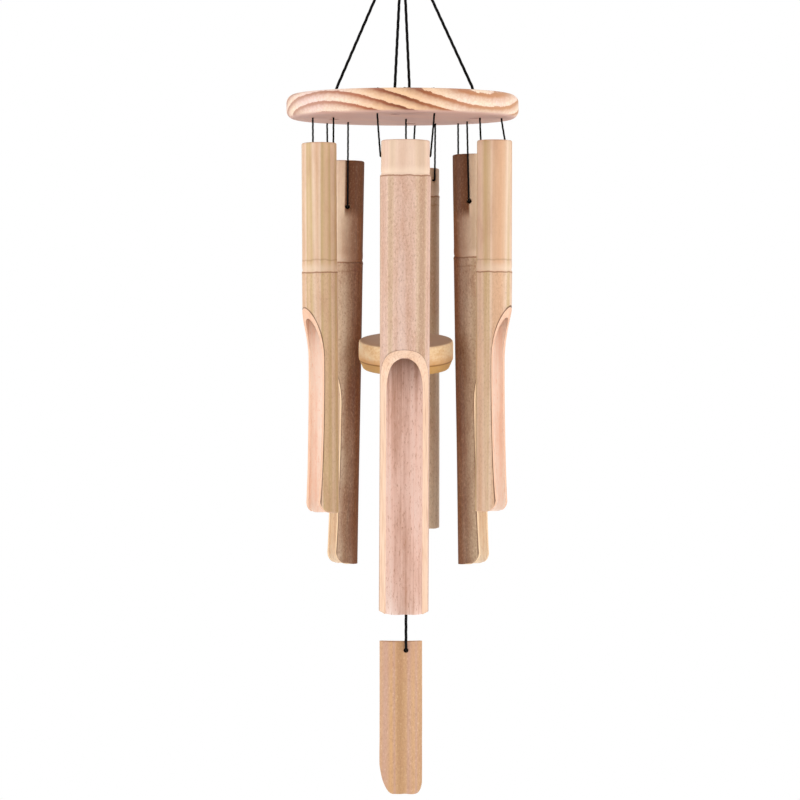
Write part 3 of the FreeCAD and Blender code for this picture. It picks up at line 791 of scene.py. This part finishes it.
class Culm:
    """The surfaces of one culm in its own frame: from 0 down, its scoop towards +X."""

    def __init__(self, tube, seed):
        vars(self).update(SECTIONS[tube["section"]])
        self.length, self.node, self.scoop, self.seed = tube["length"], tube["node"], tube["scoop"], seed
        self.bore = self.radius - self.wall
        self.cut_x = self.radius - self.depth

    def half_gap(self, z, radius, drop, runout):
        """Half the angle that the scoop opens at a height, in a wall of that radius."""
        depth = radius - self.cut_x
        reach = math.sqrt(2 * runout * depth - depth * depth)
        down = -z - self.scoop - drop
        if down <= 0:
            return 0.0
        taken = depth
        if down < reach:
            taken = depth - (runout - math.sqrt(runout**2 - (reach - down) ** 2))
        elif self.flare:
            taken = depth - self.flare * ((down - reach) / (self.length - self.scoop - drop - reach)) ** 2
        return math.acos((radius - taken) / radius)

    def outer_gap(self, z):
        return self.half_gap(z, self.radius, 0.0, self.runout)

    def inner_gap(self, z):
        return self.half_gap(z, self.bore, self.inner_drop, self.inner_runout)

    def rise(self, point):
        """How far the end's rounded corners lift a point, fading out upwards."""
        zone = 26.0
        share = max(0.0, (zone - self.length - point.z) / zone)
        past = min(self.end_round, max(0.0, abs(point.y) - (self.radius + 1 - self.end_round)))
        ahead = min(self.lip_round, max(0.0, point.x - (self.cut_x + self.flare - self.lip_round)))
        lift = max(self.end_share * corner_lift(self.end_round, past), corner_lift(self.lip_round, ahead))
        ripple = 0.3 + 0.3 * noise.noise(Vector((point.y * 0.12, self.seed, 3.0)))
        return share * (lift + ripple)

    def skin(self, angle, z):
        """The outer wall, slightly oval and a little thicker below its node, with the node's low ridge and
        groove and the faint facets of a sanded culm."""
        up = z + self.node + 1.0
        ridge = 0.26 * math.exp(-(up / 1.1) ** 2) - 0.24 * math.exp(-((up - 1.9) / 0.7) ** 2)
        ridge += 0.14 * math.exp(-((up - 5.0) / 2.2) ** 2)
        lower = 1 / (1 + math.exp(min(60.0, up / 0.7)))
        ridge += self.step * (0.4 * lower * math.exp(min(0.0, up) / 35) - 0.45 * (1 - lower))
        around = Vector((math.cos(angle), math.sin(angle), 0))
        oval = 0.14 * math.cos(2 * angle + self.seed)
        facet = 0.25 * noise.noise(around * 2.2 + Vector((self.seed, 0, z * 0.009)))
        fibre = 0.06 * noise.noise(around * 16 + Vector((0, self.seed, z * 0.02)))
        softened = corner_lift(1.4, min(1.4, max(0.0, z + 1.4)))
        point = polar(self.radius - 0.05 + ridge + oval + facet + fibre - softened, angle, z)
        point.z += self.rise(point)
        if z > -0.5:
            point.z += 0.25 * noise.noise(around * 2.5 + Vector((self.seed, 8, 0))) - 0.15
        return point

    def bore_wall(self, angle, z):
        around = Vector((math.cos(angle), math.sin(angle), 0))
        radius = self.bore + 0.25 * noise.noise(around * 2 + Vector((self.seed, 5, z * 0.02)))
        point = polar(radius, angle, z)
        point.z += self.rise(point)
        return point

    def rows(self):
        """Heights of the grid's rows, closer at the node and where the arches start."""
        found = {0.0, -0.2, -0.5, -0.9, -1.4, -self.length, -self.node, -self.node - 2.0}
        found.update(-2.6 * n for n in range(1, int(self.length / 2.6)))
        found.update(-self.node - 1 + 0.5 * n for n in range(-8, 18))
        for start in (self.scoop, self.scoop + self.inner_drop):
            found.update(-start - 26 * (n / 22) ** 2 for n in range(23))
        found.update(-self.length + 1.4 * n for n in range(12))
        ordered = sorted((z for z in found if -self.length <= z <= 0), reverse=True)
        kept = [0.0]
        fixed = {-self.length, -self.scoop, -self.scoop - self.inner_drop, -self.node, -self.node - 2.0}
        for z in ordered[1:]:
            if z in fixed or (kept[-1] - z > 0.12 and all(z in fixed or abs(z - f) > 0.12 for f in fixed)):
                kept.append(z)
        return kept

    def grids(self):
        """Outer wall, cut faces, inner wall, rims and the node's septum, as grids that meet edge to edge."""
        skin_columns, strips, made = 84, 4, Grids()
        rows = self.rows()

        def sweep(gap):
            return [gap + (math.tau - 2 * gap) * k / skin_columns for k in range(skin_columns + 1)]

        made.add([[self.skin(a, z) for a in sweep(self.outer_gap(z))] for z in rows], 0)
        for side in (1, -1):
            band = []
            for z in rows:
                if -z < self.scoop:
                    continue
                outer = self.skin(side * self.outer_gap(z), z)
                inner = self.bore_wall(side * self.inner_gap(z), z)
                if -z < self.scoop + self.inner_drop:
                    # above the inner arch the face runs on to the middle, through the wall's thickness
                    share = (-z - self.scoop) / self.inner_drop
                    inner = self.skin(0, z).lerp(self.bore_wall(0, z), share)
                band.append([outer.lerp(inner, k / strips) for k in range(strips + 1)])
            made.add(band, 1)
        floor, ceiling = -self.node, -self.node - 2.0
        upper = [z for z in rows if z >= floor]
        lower = [z for z in rows if z <= ceiling]
        made.add([[self.bore_wall(a, z) for a in sweep(0.0)] for z in upper], 2)
        made.add([[self.bore_wall(a, z) for a in sweep(self.inner_gap(z))] for z in lower], 2)
        for level, bulge in ((floor, -0.5), (ceiling, 0.5)):
            disc = []
            for n in range(7):
                share = n / 6
                lift = bulge * math.sin(share * math.pi)
                ring = [self.bore_wall(a, level) for a in sweep(0.0)]
                disc.append([Vector((p.x * (1 - share), p.y * (1 - share), level + lift)) for p in ring])
            made.add(disc, 2)
        for z in (rows[0], rows[-1]):
            outer_edge = [self.skin(a, z) for a in sweep(self.outer_gap(z))]
            inner_edge = [self.bore_wall(a, z) for a in sweep(self.inner_gap(z))]
            made.bridge(outer_edge, inner_edge, strips, 1)
        return made


def bamboo_tube(name, tube, seed, skin, cut_face, inside, edge):
    """A culm with its scoop, drilled for its two cords, with a painted shadow line on its rounded cut edges.
    """
    culm = Culm(tube, seed)
    grids = culm.grids()
    place = tube_place(tube)
    place.translation *= MM
    made = new_piece(f"{name}_tube_look", grids.points, grids.faces, [skin, cut_face, inside, edge],
                     grids.materials, place, merge=0.004)
    drills = []
    for _, (azimuth, drop) in tube["cords"].values():
        direction = polar(1, math.radians(azimuth - tube["facing"]), 0)
        start = direction * (culm.bore - 3) - Z_AXIS * (drop - 0.3)
        drills.append((start, direction, TUBE_HOLE, culm.wall + 6))
    drill_and_soften(made, drills, edge_slot=3)
    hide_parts(f"{name}_tube")
    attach(made, f"{name}_chime")


BLACK_CORD = cord_material()

camera()
studio()
hanging_loop()
suspension_cords()
for tube_name, tube_spec in TUBES.items():
    tube_cords(tube_name, tube_spec)
centre_cords()

PINK = dict(speckle=0.42, edge_shadow_line=0.35, cream=0.32, tones=(
    (190, 154, 126), (212, 180, 152), (224, 190, 170), (214, 176, 156), (232, 202, 188), (242, 216, 204)))
STRAW = dict(speckle=0.25, edge_shadow_line=0.85, second=8.5, tones=(
    (218, 164, 124), (224, 184, 150), (236, 206, 180), (206, 176, 128), (228, 194, 160), (238, 210, 186)))
BROWN = dict(speckle=0.5, edge_shadow_line=0.6, cream=0.2, second=-6, tones=(
    (190, 162, 130), (210, 184, 154), (224, 200, 174), (212, 184, 154), (228, 206, 180), (238, 218, 198)))
LOOKS = {
    "front": dict(PINK, seed=1.3),
    "front_left": dict(STRAW, seed=4.1),
    "front_right": dict(STRAW, seed=7.7),
    # the rear side tubes get painted shade on the side that faces the chime's middle
    "rear_left": dict(BROWN, seed=10.2, shade=(-10, 37)),
    "rear_right": dict(BROWN, seed=13.9, shade=(180, 42)),
    "rear": dict(BROWN, seed=17.4, speckle=0.4),
}
pale_cut = bamboo_cut("cut_bamboo", 3.0, (252, 218, 192), (244, 204, 172), (206, 150, 112))
slim_cut = bamboo_cut("cut_slim_bamboo", 9.0, (246, 204, 176), (238, 190, 160), (206, 152, 118))
brown_cut = bamboo_cut("cut_brown_bamboo", 5.0, (250, 220, 182), (240, 202, 160), (196, 146, 106))
pale_inside = bamboo_inside("pale_inside", 2.0, (255, 236, 226), (248, 218, 204), (198, 152, 126),
                            specks=0.8, arch=TUBES["front"]["scoop"])
slim_inside = bamboo_inside("slim_inside", 11.0, (255, 246, 236), (255, 232, 216), (244, 198, 172))
brown_inside = bamboo_inside("brown_inside", 6.0, (255, 246, 226), (250, 230, 206), (222, 186, 156))
# darker materials for the rounded cut edges: a painted shadow line along them
pale_edge_shadow = bamboo_cut("pale_edge_shadow", 4.0, (160, 118, 88), (132, 94, 68), (100, 70, 50))
brown_edge_shadow = bamboo_cut("brown_edge_shadow", 7.0, (176, 130, 96), (142, 98, 68), (90, 60, 42))
for tube_name, tube_spec in TUBES.items():
    look, section = dict(LOOKS[tube_name]), SECTIONS[tube_spec["section"]]
    # the painted shade's direction, turned into the tube's own frame
    if "shade" in look:
        shaded_side, shade_edge = look["shade"]
        look["shade"] = (shaded_side - tube_spec["facing"], shade_edge)
    tube_skin = bamboo_skin(f"{tube_name}_skin", node=tube_spec["node"], radius=section["radius"],
                            scoop=(section, tube_spec["scoop"], tube_spec["length"]), **look)
    if tube_name.startswith("rear"):
        finish = (brown_cut, brown_inside, brown_edge_shadow)
    elif tube_name == "front":
        finish = (pale_cut, pale_inside, pale_edge_shadow)
    else:
        finish = (slim_cut, slim_inside, pale_edge_shadow)
    bamboo_tube(tube_name, tube_spec, look["seed"], tube_skin, *finish)


# ---- platform, clapper, sail and ring

def paint(node, material):
    """A CAD node keeps its shape and takes a material."""
    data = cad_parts[node].data
    data.materials.clear()
    data.materials.append(material)


def platform_pine():
    """Flat-sawn pine. Its rings are cylinders round a pith that runs diagonally below the board, so the
    rim shows slanting bands that darken slowly and end sharply. The underside gets a painted shade."""
    made = Surface("platform_pine", roughness=0.55)
    grain, pith_drop, ring_step, ring_at = math.radians(47.5), 123.0, 7.05, -153.5
    middle = (PLATFORM_TOP + PLATFORM_FOOT) / 2
    x, y, z = made.axes()[:3]
    aside = made.minus(made.times(y, math.cos(grain) / MM), made.times(x, math.sin(grain) / MM))
    height = made.scaled(z, 1 / MM, pith_drop - middle)
    away = made.distance(aside, height)
    wander = made.noise((14, 14, 14), (3, 1, 2), detail=3)
    jagged = made.noise((260, 260, 260), detail=3, roughness=0.6)
    away = made.scaled(wander, 3.4, away)
    away = made.scaled(jagged, 2.2, away)
    first = pith_drop - middle + ring_at + 0.5 * 3.4 + 0.5 * 2.2
    phase = made.maths("FRACT", made.maths("DIVIDE", made.minus(away, first), ring_step))
    late = made.ramp(phase, (0.0, (1, 1, 1, 1)), (0.05, (0, 0, 0, 1)), (0.26, (0, 0, 0, 1)),
                     (0.6, (0.45, 0.45, 0.45, 1)), (0.84, (1, 1, 1, 1)))
    blush = made.noise((24, 24, 24), (5, 5, 5), detail=5, roughness=0.65)
    early = made.ramp(blush, (0.35, (254, 232, 206)), (0.5, (252, 226, 206)), (0.65, (248, 220, 212)))
    fine = made.noise((700, 700, 700), detail=3)
    early = made.tint(early, (224, 176, 140), fine, 0.35, 0.65, 0.0, 0.35)
    centre = made.spread(made.size(made.add(x, 2 * MM)), 8 * MM, 46 * MM, 0.65, 0.0)
    early = made.mix(centre, early, (248, 196, 140))
    across = made.scaled(x, 0.5 / (80 * MM), 0.5)
    band = made.ramp(across, (0.05, (196, 148, 128)), (0.32, (172, 98, 64)), (0.5, (122, 52, 20)),
                     (0.68, (178, 106, 62)), (0.95, (204, 148, 108)))
    coloured = made.mix(made.times(late, 0.95), early, band)
    # painted shade: the underside turns a darker pinkish grey-brown
    under = made.spread(z, (PLATFORM_FOOT + 0.4) * MM, (PLATFORM_FOOT + 2.0) * MM, 0.92, 0.0)
    made.colour(made.mix(under, coloured, made.mix(blush, (230, 188, 170), (212, 172, 166))))
    made.rough(late, 0.6, 0.5)
    made.bump(made.add(made.times(fine, 0.35), late), 0.2, 0.25)
    return made.material


def clapper_disc():
    """A turned disc with softened corners and a bevelled lower edge, tipped towards the front."""
    wood = Surface("clapper_wood", roughness=0.55)
    grain = wood.noise((60, 700, 700), (2, 3, 4), detail=4, roughness=0.6)
    broad = wood.noise((15, 120, 120), (7, 3, 4), detail=3)
    tone = wood.add(wood.times(grain, 0.5), wood.times(broad, 0.5))
    base = wood.ramp(tone, (0.35, (236, 194, 142)), (0.5, (250, 218, 174)), (0.66, (254, 234, 200)))
    z = wood.axes()[2]
    half = CLAPPER_THICKNESS / 2
    bevel_top = (CLAPPER_BEVEL - half) * MM
    # above the bevel's edge an orange band fades upwards, the bevel itself is orange, and a dark line runs
    # along that edge
    band_wobble = wood.noise((50, 50, 120), (1, 2, 9), detail=4)
    reach = wood.scaled(wood.minus(band_wobble, 0.5), 6 * MM, z)
    orange_band = wood.tint(base, (214, 152, 78), reach, bevel_top + 0.5 * MM, bevel_top + 7 * MM, 0.7, 0.0)
    below = wood.mix(wood.maths("LESS_THAN", z, bevel_top), orange_band, wood.mix(0.8, base, (206, 152, 66)))
    line = wood.size(wood.minus(z, bevel_top))
    edged = wood.tint(below, (140, 88, 36), line, 0.2 * MM, 0.9 * MM, 0.75, 0.0)
    top = wood.tint(edged, (176, 142, 116), z, (half - 1.0) * MM, (half - 0.1) * MM, 0.0, 0.95)
    wood.colour(top)
    wood.bump(grain, 0.3, 0.2)

    sides, grids = 128, Grids()
    r, bevel, inward = CLAPPER_RADIUS, CLAPPER_BEVEL, CLAPPER_BEVEL_IN
    low = bevel - half
    profile = [
        (CLAPPER_HOLE, -half), (CLAPPER_HOLE, half), (10, half + 0.05), (22, half + 0.05), (r - 2.2, half),
        (r - 1.0, half - 0.3), (r - 0.3, half - 1.0), (r, half - 2.2), (r + 0.1, 2), (r, low + 1.0),
        (r - 0.15, low + 0.3), (r - 0.6, low - 0.5), (r - inward + 0.5, 0.8 - half),
        (r - inward - 0.3, 0.15 - half), (r - inward - 1.5, -half), (15, -half), (CLAPPER_HOLE, -half),
    ]
    angles = [math.tau * k / sides for k in range(sides + 1)]
    grids.add([[polar(radius + 0.12 * noise.noise(polar(2.0, angle, z * 0.1)), angle, z) for angle in angles]
               for radius, z in profile])
    place = Matrix.Translation(Vector((CLAPPER_X, 0, CLAPPER_MIDDLE)) * MM)
    place = place @ Matrix.Rotation(math.radians(CLAPPER_TILT), 4, "X")
    made = new_piece("clapper_disc_look", grids.points, grids.faces, [wood.material], place=place)
    smooth(made, 50)
    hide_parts("clapper_disc")
    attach(made, "clapper")


SAIL_TONES = ((190, 146, 104), (208, 164, 122), (204, 162, 140), (214, 168, 118), (222, 180, 140),
              (228, 192, 160))


def wind_sail():
    """A strip split from a thick culm, bulging to the front, with rounded lower corners and one hole."""
    skin = bamboo_skin("sail_skin", 21.6, -0.9, SAIL_CURVE, SAIL_TONES, 0.3)
    flesh = bamboo_cut("sail_cut", 8.0, (232, 190, 150), (212, 168, 126), (150, 106, 66))
    inside = bamboo_inside("sail_inside", 9.0, (228, 190, 158), (208, 166, 132), (176, 130, 96))
    columns, strips, grids = 36, 3, Grids()
    reach = math.asin(SAIL_WIDTH / 2 / SAIL_CURVE)
    rounds = {-1: (10.0, 24.0), 1: (5.0, 9.0)}

    def lift(x, z):
        zone = 40.0
        share = max(0.0, (zone - SAIL_HEIGHT - z) / zone)
        turn, tall = rounds[-1 if x < 0 else 1]
        past = min(0.985 * turn, max(0.0, abs(x) - (SAIL_WIDTH / 2 - turn)))
        lifted = tall * (1 - math.sqrt(1 - (past / turn) ** 2))
        return share * (lifted + 0.4 + 0.4 * noise.noise(Vector((x * 0.2, 7, 1))))

    def at(radius, angle, z):
        around = Vector((math.sin(angle), math.cos(angle), 0))
        wave = 0.2 * noise.noise(around * 3 + Vector((0, 21, z * 0.012)))
        wave += 0.06 * noise.noise(around * 26 + Vector((3, 0, z * 0.02)))
        x = (radius + wave) * math.sin(angle)
        return Vector((x, SAIL_CURVE - (radius + wave) * math.cos(angle), z + lift(x, z)))

    rows = [-SAIL_HEIGHT * n / 60 for n in range(61)]
    edge_wave = [0.25 * noise.noise(Vector((z * 0.05, 3, 3))) / SAIL_CURVE for z in rows]
    sweep = [[(-reach + 2 * reach * k / columns) * (1 + w) for k in range(columns + 1)] for w in edge_wave]
    hollow = SAIL_CURVE - SAIL_THICKNESS
    outer = [[at(SAIL_CURVE, a, z) for a in angles] for z, angles in zip(rows, sweep)]
    inner = [[at(hollow, a, z) for a in angles] for z, angles in zip(rows, sweep)]
    grids.add(outer, 0)
    grids.add(inner, 2)
    for column in (0, -1):
        grids.add([[o[column].lerp(i[column], k / strips) for k in range(strips + 1)]
                   for o, i in zip(outer, inner)], 1)
    for row in (0, -1):
        grids.bridge(outer[row], inner[row], strips, 1)
    place = Matrix.Translation(Vector((SAIL_X, SAIL_FACE, SAIL_TOP)) * MM)
    made = new_piece("wind_sail_look", grids.points, grids.faces, [skin, flesh, inside], grids.materials,
                     place, merge=0.004)
    hole = Vector((CLAPPER_X - SAIL_X, -4, SAIL_HOLE - SAIL_TOP))
    drill_and_soften(made, [(hole, Y_AXIS, SAIL_HOLE_RADIUS, 14)])
    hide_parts("wind_sail")
    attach(made, "sail")


def ring_steel():
    made = Surface("ring_steel", roughness=0.22, metallic=1.0, specular=0.5)
    wear = made.noise((300, 300, 300), detail=5, roughness=0.7)
    made.colour(made.ramp(wear, (0.35, (176, 178, 182)), (0.7, (214, 216, 220))))
    made.rough(wear, 0.16, 0.34)
    made.bump(wear, 0.08, 0.05)
    return made.material


paint("platform_disc", platform_pine())
paint("hanging_ring", ring_steel())
clapper_disc()
wind_sail()
